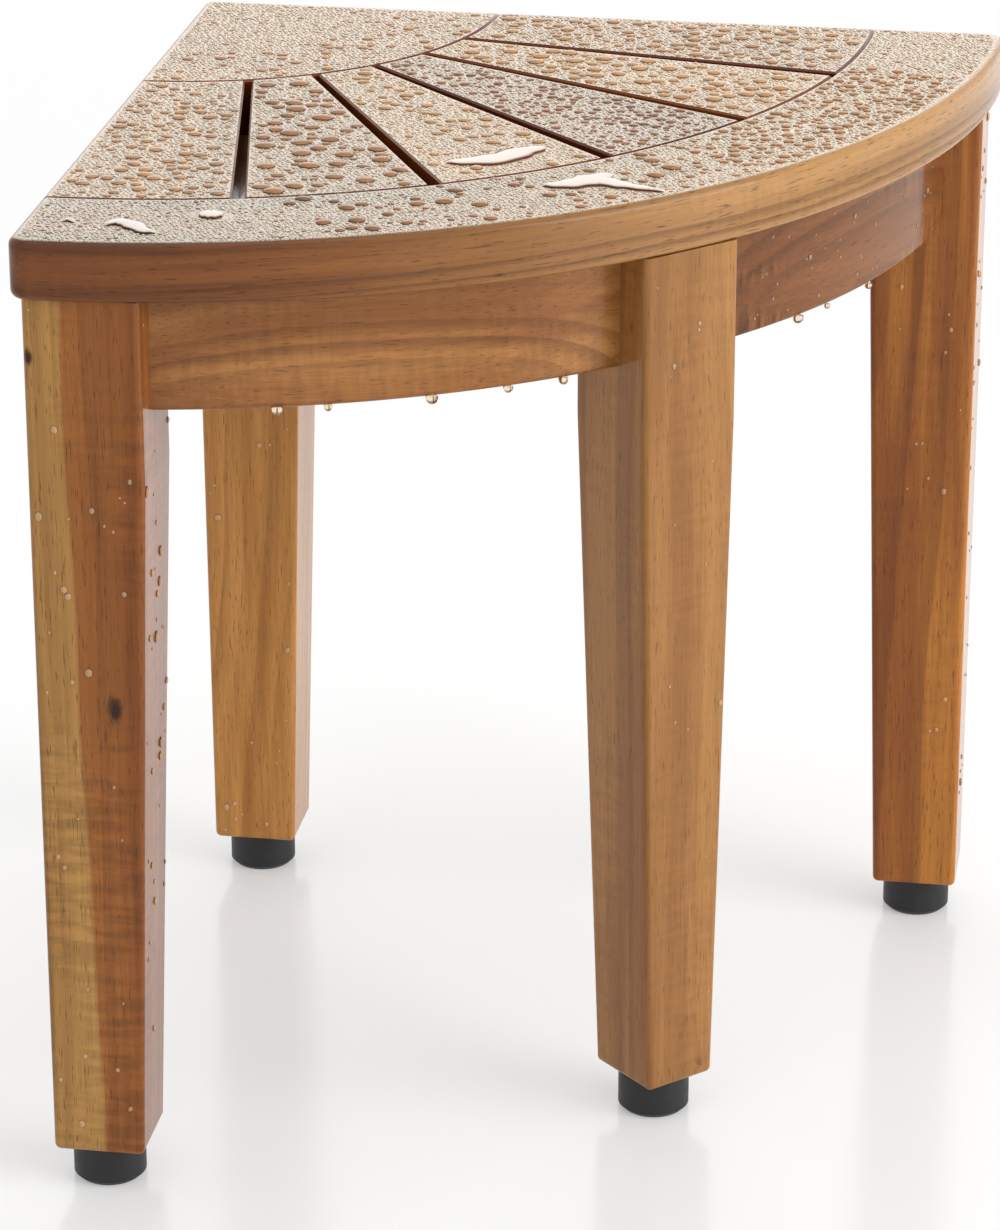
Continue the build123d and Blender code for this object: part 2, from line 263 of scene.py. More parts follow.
# The rings wander slowly along the log
wander = noise(solid_wood, log, (3.0, 16.0, 16.0), detail=2.0, output="Color")
wander = vector_sum(solid_wood, "SUBTRACT", wander, (0.5, 0.5, 0.5))
wander = vector_sum(solid_wood, "MULTIPLY", wander, (0.0, 0.016, 0.016))
bent = vector_sum(solid_wood, "ADD", log, wander)
across = vector_sum(solid_wood, "MULTIPLY", bent, (0.0, 1.0, 1.0))
from_pith = add(solid_wood, "VectorMath", {0: across}, operation="LENGTH").outputs["Value"]
ring_count = work_out(solid_wood, "DIVIDE", from_pith, given["Ring Width"])
part_of_ring = work_out(solid_wood, "FRACT", ring_count)
darkening = ease(solid_wood, part_of_ring, 0.15, 0.88)
sudden_end = ease(solid_wood, part_of_ring, 0.90, 0.99, 1.0, 0.0)
late_wood = work_out(solid_wood, "MULTIPLY", darkening, sudden_end)
uneven = add(solid_wood, "TexNoise", {"W": ring_count, "Scale": 0.45, "Detail": 1.0}, noise_dimensions="1D")
late_wood = work_out(solid_wood, "MULTIPLY", late_wood, ease(solid_wood, uneven.outputs["Fac"], 0.3, 0.7))
rings = work_out(solid_wood, "MULTIPLY", late_wood, given["Ring Strength"])

# Broad streaks and fine fibre run along the log
streaks = noise(solid_wood, bent, (2.2, 75.0, 75.0), detail=5.0, roughness=0.62)
streaks = ease(solid_wood, streaks, 0.34, 0.66)
fibre = noise(solid_wood, bent, (26.0, 1500.0, 1500.0), detail=2.0)
fibre = ease(solid_wood, fibre, 0.25, 0.75)
pores = noise(solid_wood, bent, (170.0, 2300.0, 2300.0), detail=1.0)
pores = work_out(solid_wood, "MULTIPLY", ease(solid_wood, pores, 0.62, 0.72), given["Pore Strength"])

# The rippled figure crosses the log in patches
ripple = noise(solid_wood, bent, (330.0, 60.0, 60.0), detail=2.0, roughness=0.6)
ripple = ease(solid_wood, ripple, 0.35, 0.65, -1.0, 1.0)
patches = ease(solid_wood, noise(solid_wood, log, (12.0, 45.0, 45.0)), 0.40, 0.62)
figure = work_out(solid_wood, "MULTIPLY", ripple, patches)
figure = work_out(solid_wood, "MULTIPLY", figure, given["Figure Strength"])

share = work_out(solid_wood, "MULTIPLY", streaks, given["Streak Strength"])
tint = mix(solid_wood, share, given["Middle"], given["Pale"])
tint = mix(solid_wood, rings, tint, given["Dark"])
tint = mix(solid_wood, pores, tint, given["Dark"])
lightness = work_out(solid_wood, "MULTIPLY_ADD", fibre, 0.16, 0.92)
lightness = work_out(solid_wood, "MULTIPLY_ADD", figure, 0.16, lightness)
shade = add(solid_wood, "CombineXYZ", {0: lightness, 1: lightness, 2: lightness}).outputs[0]
tint = mix(solid_wood, 1.0, tint, shade, blend="MULTIPLY")
rough = work_out(solid_wood, "MULTIPLY_ADD", fibre, 0.10, 0.36)
rough = work_out(solid_wood, "MULTIPLY_ADD", pores, 0.20, rough)
relief = work_out(solid_wood, "MULTIPLY_ADD", fibre, 0.30, 0.5)
relief = work_out(solid_wood, "MULTIPLY_ADD", pores, -0.9, relief)
relief = work_out(solid_wood, "MULTIPLY_ADD", figure, 0.15, relief)
for title, value in {"Color": tint, "Roughness": rough, "Height": relief}.items():
    solid_wood.links.new(value, result.inputs[title])
print("solid wood group:", len(solid_wood.nodes), "nodes")

# %% [markdown]
# ## Knots and sapwood
# A knot is where a branch grew: the rings part round a dark eye. Sapwood is the pale outer wood of the
# log, and a board cut near the bark keeps a strip of it. Both are worked out in the log's coordinates
# too, so they go right through a board.

# %% The knot group
knot_inputs = [
    ("Position", "Vector", (0.0, 0.0, 0.0)),
    ("Centre", "Vector", (0.0, 0.0, 0.0)),
    ("Size", "Float", 4.0 * mm),
]
knot_group, given, result = new_group("knot", knot_inputs, [("Position", "Vector"), ("Eye", "Float")])
away = vector_sum(knot_group, "SUBTRACT", given["Position"], given["Centre"])
away = vector_sum(knot_group, "MULTIPLY", away, (0.55, 1.0, 1.0))
reach = add(knot_group, "VectorMath", {0: away}, operation="LENGTH").outputs["Value"]
sizes_away = work_out(knot_group, "DIVIDE", reach, given["Size"])
direction = add(knot_group, "VectorMath", {0: away}, operation="NORMALIZE").outputs["Vector"]
squared = work_out(knot_group, "MULTIPLY", sizes_away, sizes_away)
fade = work_out(knot_group, "DIVIDE", 1.0, work_out(knot_group, "ADD", 1.0, squared))
push = work_out(knot_group, "MULTIPLY", fade, given["Size"])
push = add(knot_group, "VectorMath", {0: direction, "Scale": push}, operation="SCALE").outputs["Vector"]
parted = vector_sum(knot_group, "SUBTRACT", given["Position"], push)
ragged = noise(knot_group, given["Position"], (300.0, 500.0, 500.0))
eye_edge = work_out(knot_group, "MULTIPLY_ADD", ragged, 0.9, sizes_away)
knot_group.links.new(parted, result.inputs["Position"])
knot_group.links.new(ease(knot_group, eye_edge, 0.8, 1.9, 1.0, 0.0), result.inputs["Eye"])

# %% The sapwood group
sap_inputs = [
    ("Position", "Vector", (0.0, 0.0, 0.0)),
    ("Across", "Vector", (0.0, 1.0, 0.0)),
    ("Edge", "Float", 0.0),
    ("Softness", "Float", 1.0 * mm),
]
sap_group, given, result = new_group("sapwood", sap_inputs, [("Sapwood", "Float")])
wobble = noise(sap_group, given["Position"], (7.0, 30.0, 30.0), detail=3.0)
wobble = work_out(sap_group, "MULTIPLY_ADD", wobble, 7.0 * mm, -3.5 * mm)
dot = add(sap_group, "VectorMath", {0: given["Position"], 1: given["Across"]}, operation="DOT_PRODUCT")
depth = work_out(sap_group, "ADD", dot.outputs["Value"], wobble)
depth = work_out(sap_group, "SUBTRACT", depth, given["Edge"])
depth = work_out(sap_group, "DIVIDE", depth, given["Softness"])
sap_group.links.new(ease(sap_group, depth, -1.0, 1.0), result.inputs["Sapwood"])

# %% [markdown]
# ## Water on the seat, in the finish
# Oiled wood is too slick to wet through, so spray stands on it as thousands of beads a millimetre wide.
# The finest mist between them is too small for a mesh: the group below gives it as cells of a Voronoi
# pattern, each a round dome of its own size. It darkens the wood a little and rounds its surface, and
# the film between is painted pale, a painted reflection of the light from behind. All beads from half a
# millimetre up are modelled further down.

# %% The fine beading group
bead_inputs = [
    ("Position", "Vector", (0.0, 0.0, 0.0)),
    ("Bead Width", "Float", 1.3 * mm),
    ("Cover", "Float", 0.9),
]
bead_outputs = [("Bead", "Float"), ("Height", "Float"), ("Top", "Float")]
beading, given, result = new_group("fine_beading", bead_inputs, bead_outputs)
facing_up = add(beading, "SeparateXYZ", {0: add(beading, "NewGeometry").outputs["Normal"]}).outputs["Z"]
on_top = ease(beading, facing_up, 0.90, 0.99)
per_metre = work_out(beading, "DIVIDE", 1.0, given["Bead Width"])
cells = add(beading, "TexVoronoi", {"Vector": given["Position"], "Scale": per_metre}, voronoi_dimensions="2D")
chance = add(beading, "SeparateXYZ", {0: cells.outputs["Color"]}).outputs
radius = work_out(beading, "MULTIPLY_ADD", chance["X"], 0.22, 0.26)
ratio = work_out(beading, "DIVIDE", cells.outputs["Distance"], radius)
dome = work_out(beading, "SUBTRACT", 1.0, work_out(beading, "MULTIPLY", ratio, ratio))
dome = work_out(beading, "MAXIMUM", dome, 0.0)
present = work_out(beading, "LESS_THAN", chance["Y"], given["Cover"])
dome = work_out(beading, "MULTIPLY", work_out(beading, "MULTIPLY", dome, present), on_top)
beading.links.new(ease(beading, dome, 0.05, 0.6), result.inputs["Bead"])
beading.links.new(work_out(beading, "SQRT", dome), result.inputs["Height"])
beading.links.new(on_top, result.inputs["Top"])
print("groups:", [g.name for g in bpy.data.node_groups])

# %% [markdown]
# ## One wood for every board
# Each board comes from its own part of its own log, so each gets its own material. One function places
# the board in its log, adds what knots, sapwood and beading it has, and joins it all to the shader.

# %% The board material
water_ior = 1.33
along_x = Euler((0, 0, 0))
upright = Euler((0, math.radians(90), 0))


def lying(degrees_from_x):
    """The turn that brings a board lying at an angle in plan to lie along X."""
    return Euler((0, 0, -math.radians(degrees_from_x)))


def board_log(tree, place, centre, turn, pith):
    """Object coordinates moved and turned so that the board's grain lies along its log."""
    shift = Vector(pith) - turn.to_matrix() @ Vector(centre)
    values = {"Vector": place, "Location": shift, "Rotation": turn}
    return add(tree, "Mapping", values, vector_type="POINT").outputs["Vector"]


def unrolled_log(tree, place, hub, radius, pith):
    """Object coordinates unrolled about a hub, for a board whose grain follows a curve."""
    out = add(tree, "SeparateXYZ", {0: vector_sum(tree, "SUBTRACT", place, hub)}).outputs
    across = add(tree, "CombineXYZ", {0: out["X"], 1: out["Y"]}).outputs[0]
    reach = add(tree, "VectorMath", {0: across}, operation="LENGTH").outputs["Value"]
    along = work_out(tree, "MULTIPLY", work_out(tree, "ARCTAN2", out["Y"], out["X"]), radius)
    depth = work_out(tree, "SUBTRACT", reach, radius)
    flat = add(tree, "CombineXYZ", {0: along, 1: depth, 2: out["Z"]}).outputs[0]
    return vector_sum(tree, "ADD", flat, pith)


def log_of(tree, place, looks):
    """The board's place in its log, straight or unrolled."""
    if "hub" in looks:
        return unrolled_log(tree, place, looks["hub"], looks["radius"], looks["pith"])
    return board_log(tree, place, looks["centre"], looks["turn"], looks["pith"])


def knot_at(looks, point, size):
    """A knot of a given size, from its place on the foot rest."""
    return (Vector(looks["pith"]) + looks["turn"].to_matrix() @ (Vector(point) - looks["centre"]), size)


def wood_colours(tree, log_place, looks):
    """The wood's colour, roughness and relief with the board's own sapwood and knots."""
    eyes = []
    for centre, size in looks.get("knots", []):
        knot = use_group(tree, knot_group, {"Position": log_place, "Centre": centre, "Size": size})
        log_place = knot["Position"]
        eyes.append(knot["Eye"])
    pale = colour(looks["pale"])
    middle = colour(looks["middle"])
    if "sapwood" in looks:
        sap = use_group(tree, sap_group, {"Position": log_place, **looks["sapwood"]})["Sapwood"]
        pale = mix(tree, sap, pale, colour(looks["sap_pale"]))
        middle = mix(tree, sap, middle, colour(looks["sap_middle"]))
    values = {"Position": log_place, "Pale": pale, "Middle": middle, "Dark": colour(looks["dark"])}
    values.update(looks.get("grain", {}))
    wood = use_group(tree, solid_wood, values)
    tint = wood["Color"]
    for eye in eyes:
        tint = mix(tree, eye, tint, colour("3A1E10"))
    return tint, wood["Roughness"], wood["Height"]


def board(name, looks, wet=None):
    """An oiled board. Where wet says how, its top has fine beading and painted sheen; a side colour paints
    shade in its slots.
    """
    made, tree, shader, place = new_material(name)
    tint, rough, relief = wood_colours(tree, log_of(tree, place, looks), looks)
    bump = add(tree, "Bump", {"Height": relief, "Strength": 0.35, "Distance": 0.12 * mm})
    normal = bump.outputs["Normal"]
    if wet:
        beads = use_group(
            tree, beading, {"Position": place, "Bead Width": wet["width"], "Cover": wet["cover"]}
        )
        deep = mix(tree, 1.0, tint, colour(wet["tint"]), blend="MULTIPLY")
        # Painted sheen: the top between the beads is painted pale, a painted reflection of the light from
        # behind
        with_painted_sheen = mix(tree, work_out(tree, "MULTIPLY", beads["Top"], wet["painted_sheen"]), tint, colour("EFE8CC"))
        tint = mix(tree, beads["Bead"], with_painted_sheen, deep)
        rough = work_out(tree, "MULTIPLY_ADD", beads["Bead"], -0.25, rough)
        drops = {"Height": beads["Height"], "Normal": normal}
        drops.update(Strength=0.8, Distance=0.22 * wet["width"])
        normal = add(tree, "Bump", drops).outputs["Normal"]
        if "side" in looks:
            # Painted shade in the slots: faces off the top, away from the seat's outer left and back sides,
            # are darkened by the side colour
            slot_shade = mix(tree, 1.0, tint, colour(looks["side"]), blend="MULTIPLY")
            parts = add(tree, "SeparateXYZ", {0: place}).outputs
            from_left = work_out(tree, "SUBTRACT", parts["X"], square_corner.x)
            from_back = work_out(tree, "SUBTRACT", square_corner.y, parts["Y"])
            within = ease(tree, work_out(tree, "MINIMUM", from_left, from_back), 3.0 * mm, 4.0 * mm)
            in_slot = work_out(tree, "MULTIPLY", within, work_out(tree, "SUBTRACT", 1.0, beads["Top"]))
            tint = mix(tree, in_slot, tint, slot_shade)
    shader.inputs["Coat Weight"].default_value = 0.9
    shader.inputs["Coat Roughness"].default_value = 0.14
    shader.inputs["Coat IOR"].default_value = water_ior
    shader.inputs["Specular IOR Level"].default_value = 0.04
    tree.links.new(tint, shader.inputs["Base Color"])
    tree.links.new(rough, shader.inputs["Roughness"])
    tree.links.new(normal, shader.inputs["Normal"])
    return made


def middle_of(node):
    """The centre of a CAD piece's box."""
    low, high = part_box(node)
    return (low + high) / 2


# %% [markdown]
# ## The seat's boards
# The slats are radial boards glued between the corner block and the curved front rim. They came from
# different planks: one is grey-brown, its neighbour yellow, and the rim runs from reddish heartwood at
# the left to golden wood at the right.

# %% Paint the seat
seat_colours = {
    "seat_corner_block": ("BE8A58", "A67246", "7A4C2A"),
    "seat_slat_1": ("B98654", "A06C3E", "744628"),
    "seat_slat_2": ("AD7A50", "94643E", "6A4028"),
    "seat_slat_3": ("C49256", "AE7C42", "7C5028"),
    "seat_slat_4": ("A67656", "8C5E42", "603A28"),
    "seat_slat_5": ("CC9A56", "B68242", "865628"),
    "seat_slat_6": ("BC8852", "A4703E", "784A28"),
}
# The third value is the share of painted pale sheen on the top between the beads
beadings = {"width": 0.80 * mm, "cover": 0.90, "painted_sheen": 0.50, "tint": "E8CCA0"}
seat_looks = {}
for number, (node, (pale, middle, dark)) in enumerate(seat_colours.items()):
    centre = middle_of(node)
    out = centre - square_corner
    angle = 0.0 if node == "seat_corner_block" else math.degrees(math.atan2(out.y, out.x))
    looks = {"centre": centre, "turn": lying(angle), "pith": (0.3 * number, 0.021 * number - 0.06, 0.035)}
    # The side colour is painted shade for the slot walls between the boards
    looks.update(pale=pale, middle=middle, dark=dark, side="A87448", grain={"Ring Width": 3.6 * mm})
    seat_looks[node] = looks

seat_looks["seat_front_rim"] = {
    "hub": square_corner,
    "radius": seat_side,
    "pith": (0.0, 0.020, -0.262),
    "pale": "8E5428",
    "middle": "5E331B",
    "dark": "40200F",
    "sap_pale": "C0905A",
    "sap_middle": "A27444",
    "sapwood": {"Across": (1.0, 0.0, 0.0), "Edge": -0.26, "Softness": 0.12},
    "grain": {"Ring Width": 3.4 * mm, "Ring Strength": 0.5, "Figure Strength": 0.3},
}
for node, looks in seat_looks.items():
    paint(node, board(f"oiled_{node}", looks, wet=beadings))
print("seat boards painted:", len(seat_looks))

# %% Paint the aprons and cleats
curly = {"Figure Strength": 2.8, "Streak Strength": 0.5}
apron_looks = {
    "front_apron_left": (22.3, "B47C46", "925C30", "5E351C", {"Figure Strength": 0.5}),
    "front_apron_right": (67.7, "A06A3A", "7C4A26", "50301A", curly),
    "left_apron": (90.0, "B27C48", "966236", "66402A", {}),
    "back_apron": (0.0, "B88450", "9C6A3C", "6A4428", {}),
    "left_cleat": (90.0, "BC8A56", "A27044", "744C30", {}),
    "back_cleat": (0.0, "B4824E", "98683C", "6C452A", {}),
}
apron_board_looks = {}
for number, (node, (angle, pale, middle, dark, grain)) in enumerate(apron_looks.items()):
    pith = (0.4 * number, 0.05, 0.03 - 0.01 * number)
    looks = {"centre": middle_of(node), "turn": lying(angle), "pith": pith}
    looks.update(pale=pale, middle=middle, dark=dark, grain={"Ring Width": 4.5 * mm, **grain})
    apron_board_looks[node] = looks
    paint(node, board(f"oiled_{node}", looks))
print("aprons and cleats painted:", len(apron_board_looks))

# %% [markdown]
# ## The legs
# The four legs are the boards that show most. The left one has a strip of pale sapwood down its left
# third, a small knot near the top and a larger one half way down. The middle one is golden with a
# knot close to its foot.

# %% Paint the legs
leg_looks = {
    "left_leg": {
        "pith": (0.1, 0.045, 0.020),
        "pale": "A2642E",
        "middle": "82481C",
        "dark": "582C14",
        "sap_pale": "BC8C4E",
        "sap_middle": "A27238",
        "sapwood": {"Across": (-0.012, 0.0, 1.0), "Edge": 0.0225, "Softness": 0.8 * mm},
        "grain": {"Figure Strength": 1.0, "Ring Width": 5.0 * mm, "Ring Strength": 0.4},
    },
    "back_leg": {
        "pith": (1.3, -0.055, 0.030),
        "pale": "D09450",
        "middle": "B07636",
        "dark": "7E4B1E",
        "grain": {"Ring Width": 3.4 * mm, "Ring Strength": 0.45},
    },
    "right_leg": {
        "pith": (2.1, 0.060, -0.030),
        "pale": "C88438",
        "middle": "9A5A28",
        "dark": "663618",
        "grain": {"Ring Width": 5.5 * mm, "Ring Strength": 0.5, "Figure Strength": 0.3},
    },
    "middle_leg": {
        "pith": (3.2, 0.050, 0.045),
        "pale": "B07C44",
        "middle": "966434",
        "dark": "6E431F",
        "grain": {"Ring Width": 6.0 * mm, "Ring Strength": 0.35, "Figure Strength": 0.4},
    },
}
knots = {
    "left_leg": [((-0.1275, -0.1283, 0.2693), 1.4 * mm), ((-0.1055, -0.1283, 0.1612), 2.2 * mm)],
    "middle_leg": [((0.0577, -0.0483, 0.0185), 1.5 * mm)],
}
for node, looks in leg_looks.items():
    looks.update(centre=middle_of(node), turn=upright)
    looks["knots"] = [knot_at(looks, point, size) for point, size in knots.get(node, [])]
    paint(node, board(f"oiled_{node}", looks))
print("legs painted:", list(leg_looks))

# %% [markdown]
# ## Dowels, steel and brass
# These pieces are inside the joints or underneath. They still get their own finish: beech dowels,
# stainless screws with fine turning marks, and brass inserts.

# %% Paint the dowels and metal
beech = {
    "centre": (0, 0, 0),
    "turn": along_x,
    "pith": (0.0, 0.04, 0.02),
    "pale": "DDBB8C",
    "middle": "CFA877",
    "dark": "A97F52",
    "grain": {"Ring Width": 2.5 * mm, "Ring Strength": 0.3},
}
beech_material = board("beech_dowels", beech)
paint("slat_dowels_inner", beech_material)
paint("slat_dowels_outer", beech_material)


def turned_metal(name, code, mark_depth):
    """A machined metal with fine scratches and a little tarnish."""
    made, tree, shader, place = new_material(name)
    scratches = noise(tree, place, (900.0, 900.0, 7000.0), detail=2.0)
    tarnish = ease(tree, noise(tree, place, (220.0, 220.0, 220.0), detail=3.0), 0.45, 0.7)
    tint = mix(tree, work_out(tree, "MULTIPLY", tarnish, 0.35), colour(code), colour("6B5B48"))
    rough = work_out(tree, "MULTIPLY_ADD", scratches, 0.2, 0.22)
    bump = add(tree, "Bump", {"Height": scratches, "Strength": 0.4, "Distance": mark_depth})
    shader.inputs["Metallic"].default_value = 1.0
    tree.links.new(tint, shader.inputs["Base Color"])
    tree.links.new(rough, shader.inputs["Roughness"])
    tree.links.new(bump.outputs["Normal"], shader.inputs["Normal"])
    return made


stainless = turned_metal("stainless_steel", "B9BCBE", 0.02 * mm)
brass = turned_metal("turned_brass", "C9A45A", 0.02 * mm)
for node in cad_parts:
    if node.endswith(("_screws", "_stud")):
        paint(node, stainless)
    elif node.endswith("_insert"):
        paint(node, brass)
print("inner finishes:", beech_material.name, stainless.name, brass.name)

# %% [markdown]
# ## The rubber feet
# Each foot is a black moulded pad. The CAD pad keeps its plate recess, and its finish here is matt
# rubber: a fine grain and patches of pale dust, which are a little rougher than the rest.

# %% Paint the feet
rubber, tree, shader, place = new_material("black_rubber")
grain = noise(tree, place, (2600.0, 2600.0, 2600.0), detail=2.0)
dust = ease(tree, noise(tree, place, (160.0, 160.0, 260.0), detail=4.0), 0.5, 0.75)
tint = mix(tree, work_out(tree, "MULTIPLY", dust, 0.25), colour("18181A"), colour("3E3D3C"))
bump = add(tree, "Bump", {"Height": grain, "Strength": 0.35, "Distance": 0.10 * mm})
tree.links.new(tint, shader.inputs["Base Color"])
tree.links.new(work_out(tree, "MULTIPLY_ADD", dust, 0.15, 0.48), shader.inputs["Roughness"])
tree.links.new(bump.outputs["Normal"], shader.inputs["Normal"])
for corner in ("left", "back", "right", "middle"):
    paint(f"{corner}_foot_pad", rubber)
print("rubber pads painted: 4")

# %% [markdown]
# ## Larger beads of water
# The beads that the eye picks out are 1 to 6 mm across. They are real domes, because their outlines and
# the light on their far sides show from a step away. Each bead is one grid: an angle round it and a
# profile up it, with the outline pulled out of round by two waves. Water isn't part of the foot rest, so
# these pieces are objects of their own, as the floor is.

# %% Find the faces that water stands on
upward = (0, 0, 1)
downward = (0, 0, -1)
rightward = (1, 0, 0)
dead_level = 0.999
roughly_facing = 0.93


def triangles(node):
    """The corners of a CAD piece's triangles and their unit normals."""
    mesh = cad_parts[node].data
    mesh.calc_loop_triangles()
    places = np.empty(len(mesh.vertices) * 3)
    mesh.vertices.foreach_get("co", places)
    order = np.empty(len(mesh.loop_triangles) * 3, int)
    mesh.loop_triangles.foreach_get("vertices", order)
    faces = places.reshape(-1, 3)[order.reshape(-1, 3)]
    normals = np.cross(faces[:, 1] - faces[:, 0], faces[:, 2] - faces[:, 0])
    length = np.linalg.norm(normals, axis=1, keepdims=True)
    real = length[:, 0] > 1e-12
    return faces[real], normals[real] / length[real]


def faces_towards(node, direction, least):
    """The triangles whose normals lie near a direction: least is the smallest cosine between the two."""
    faces, normals = triangles(node)
    near = normals @ np.array(direction) > least
    return faces[near], normals[near]


def outline_points(faces, step=1.0 * mm):
    """Points along the edges that only one triangle has, one every step."""
    ends = faces[:, [0, 1, 1, 2, 2, 0]].reshape(-1, 2, 3)
    keys = np.sort(np.round(ends @ [1.0, 7.3, 3.1], 7), axis=1)
    _, first, count = np.unique(keys, axis=0, return_index=True, return_counts=True)
    rims = ends[first[count == 1]]
    pieces = np.ceil(np.linalg.norm(rims[:, 1] - rims[:, 0], axis=1) / step).astype(int) + 1
    edge = np.repeat(np.arange(len(rims)), pieces)
    share = (np.arange(len(edge)) - np.repeat(np.cumsum(pieces) - pieces, pieces)) / pieces[edge]
    return rims[edge, 0] + (rims[edge, 1] - rims[edge, 0]) * share[:, None]


# %% Scatter drops without overlaps
reach_margin = 1
turn_margin = 0.3
edge_gap = 0.2 * mm
drop_gap = 0.25 * mm


def in_sector(points, reach, turn):
    """True for points in a part of the seat: mm from its square corner and degrees from its left side."""
    out = points - np.array(square_corner)
    distance = np.hypot(out[:, 0], out[:, 1]) / mm
    degrees = 90 + np.degrees(np.arctan2(out[:, 1], out[:, 0]))
    within = (distance > reach[0] + reach_margin) & (distance < reach[1] - reach_margin)
    return within & (degrees > turn[0] + turn_margin) & (degrees < turn[1] - turn_margin)


def scatter(faces, radii, luck, sector=None, shunned=None):
    """Centres and face numbers for the given radii, largest first, clear of edges and of one another."""
    radii = -np.sort(-radii)
    sides = faces[:, 1:] - faces[:, :1]
    area = np.linalg.norm(np.cross(sides[:, 0], sides[:, 1]), axis=1)
    picked = luck.choice(len(faces), len(radii), p=area / area.sum())
    share = luck.random((len(radii), 2))
    share = np.where(share.sum(1, keepdims=True) > 1, 1 - share, share)
    points = faces[picked, 0] + (share[:, :, None] * sides[picked]).sum(1)
    edge = outline_points(faces)
    if shunned is not None:
        edge = np.concatenate([edge, shunned])
    clear = np.array([np.linalg.norm(edge - point, axis=1).min() for point in points])
    fits = clear > radii * 1.15 + edge_gap
    if sector is not None:
        fits &= in_sector(points, *sector)
    kept = []
    for number in np.flatnonzero(fits):
        gaps = np.linalg.norm(points[kept] - points[number], axis=1) - radii[kept] - radii[number]
        if not kept or gaps.min() > drop_gap:
            kept.append(number)
    return points[kept], radii[kept], picked[kept]


# %% Shape the drops
# Each row of a profile: the share of the radius and the share of the height, from the foot up
bead_profile = np.array([(1.0, -0.15), (0.99, 0.12), (0.86, 0.58), (0.52, 0.92)])
fine_profile = np.array([(1.0, -0.10), (0.74, 0.74)])


def water_mesh(name, points, faces, depth):
    """A smooth mesh whose points carry how far up their drop they lie, for the painted shade round its foot.
    """
    mesh = bpy.data.meshes.new(name)
    mesh.from_pydata(points.reshape(-1, 3).tolist(), [], faces)
    mesh.shade_smooth()
    mesh.attributes.new("depth", "FLOAT", "POINT").data.foreach_set("value", depth.astype(np.float32))
    return mesh


def dome_mesh(name, places, normals, along, radii, rise, stretch, luck, profile=bead_profile, segments=12):
    """Domes on any faces: radius times an outline of two waves across the normal, and the profile up it."""
    normals = np.broadcast_to(np.array(normals, float), places.shape)
    along = np.array(along, float)
    first = along - (along * normals).sum(1, keepdims=True) * normals
    first /= np.linalg.norm(first, axis=1, keepdims=True)
    second = np.cross(normals, first)
    turn = np.arange(segments) * 2 * np.pi / segments
    waves = luck.random((len(radii), 4)) * [0.12, 2 * np.pi, 0.07, 2 * np.pi]
    outline = 1 + waves[:, :1] * np.cos(2 * turn + waves[:, 1:2])
    outline = outline + waves[:, 2:3] * np.cos(3 * turn + waves[:, 3:])
    reach = (radii[:, None] * outline)[:, None, :] * profile[None, :, :1]
    height = np.broadcast_to((radii * rise)[:, None, None] * profile[None, :, 1:], reach.shape)
    rings = (reach * np.cos(turn) * stretch)[..., None] * first[:, None, None]
    rings = rings + (reach * np.sin(turn))[..., None] * second[:, None, None]
    rings = rings + height[..., None] * normals[:, None, None]
    pole = normals * (radii * rise)[:, None]
    points = np.concatenate([rings.reshape(len(radii), -1, 3), pole[:, None]], 1) + places[:, None]
    count = points.shape[1]
    near = np.arange(segments)
    far = (near + 1) % segments
    bands = len(profile) - 1
    start = np.repeat(np.arange(bands) * segments, segments)
    low, high = start + np.tile(near, bands), start + np.tile(far, bands)
    walls = np.stack([low, high, high + segments, low + segments], 1)
    caps = np.stack([near + bands * segments, far + bands * segments, np.full(segments, count - 1)], 1)
    moved = (np.arange(len(radii)) * count)[:, None, None]
    faces = (walls[None] + moved).reshape(-1, 4).tolist() + (caps[None] + moved).reshape(-1, 3).tolist()
    faces += (near[::-1][None, None] + moved).reshape(-1, segments).tolist()
    depth = np.tile(np.append(np.repeat(profile[:, 1], segments), 1.0), len(radii))
    return water_mesh(name, points, faces, depth)


def standing_water(name, mesh, material):
    """Puts water into the scene as an object of its own."""
    mesh.materials.append(material)
    made = bpy.data.objects.new(name, mesh)
    bpy.context.scene.collection.objects.link(made)


# %% The look of a drop
# The usual share of painted pale highlight mixed into a drop's colour
usual_painted_highlight = 0.26


def drop_look(name, looks, body="FFEBD0", foot="82522E", glow=usual_painted_highlight, edge=(0.05, 0.50), shine="F4DDB4"):
    """Clear water over a board: the board's grain, a painted dark line of shade round the foot and a painted
    pale highlight.
    """
    made, tree, shader, place = new_material(name)
    tint = wood_colours(tree, log_of(tree, place, looks), looks)[0]
    # Painted highlight: a share of pale colour over the tinted wood stands in for the light on the water
    lit = mix(tree, glow, mix(tree, 1.0, tint, colour(body), blend="MULTIPLY"), colour(shine))
    # Painted shade: a dark line round the foot of each drop
    rim = mix(tree, 1.0, tint, colour(foot), blend="MULTIPLY")
    depth = add(tree, "Attribute", attribute_name="depth").outputs["Fac"]
    tint = mix(tree, ease(tree, depth, *edge), rim, lit)
    tree.links.new(tint, shader.inputs["Base Color"])
    shader.inputs["Roughness"].default_value = 0.04
    shader.inputs["IOR"].default_value = water_ior
    return made


def wet_look(node, looks, **finish):
    """The look of the drops on a board, made once for each board."""
    return bpy.data.materials.get(f"wet_{node}") or drop_look(f"wet_{node}", looks, **finish)


# %% [markdown]
# ## Puddles
# Where beads meet they run together into long shallow puddles. Each one is a ribbon along a path: at
# every station its width comes from the widths at the path's points, and its section is half an ellipse.

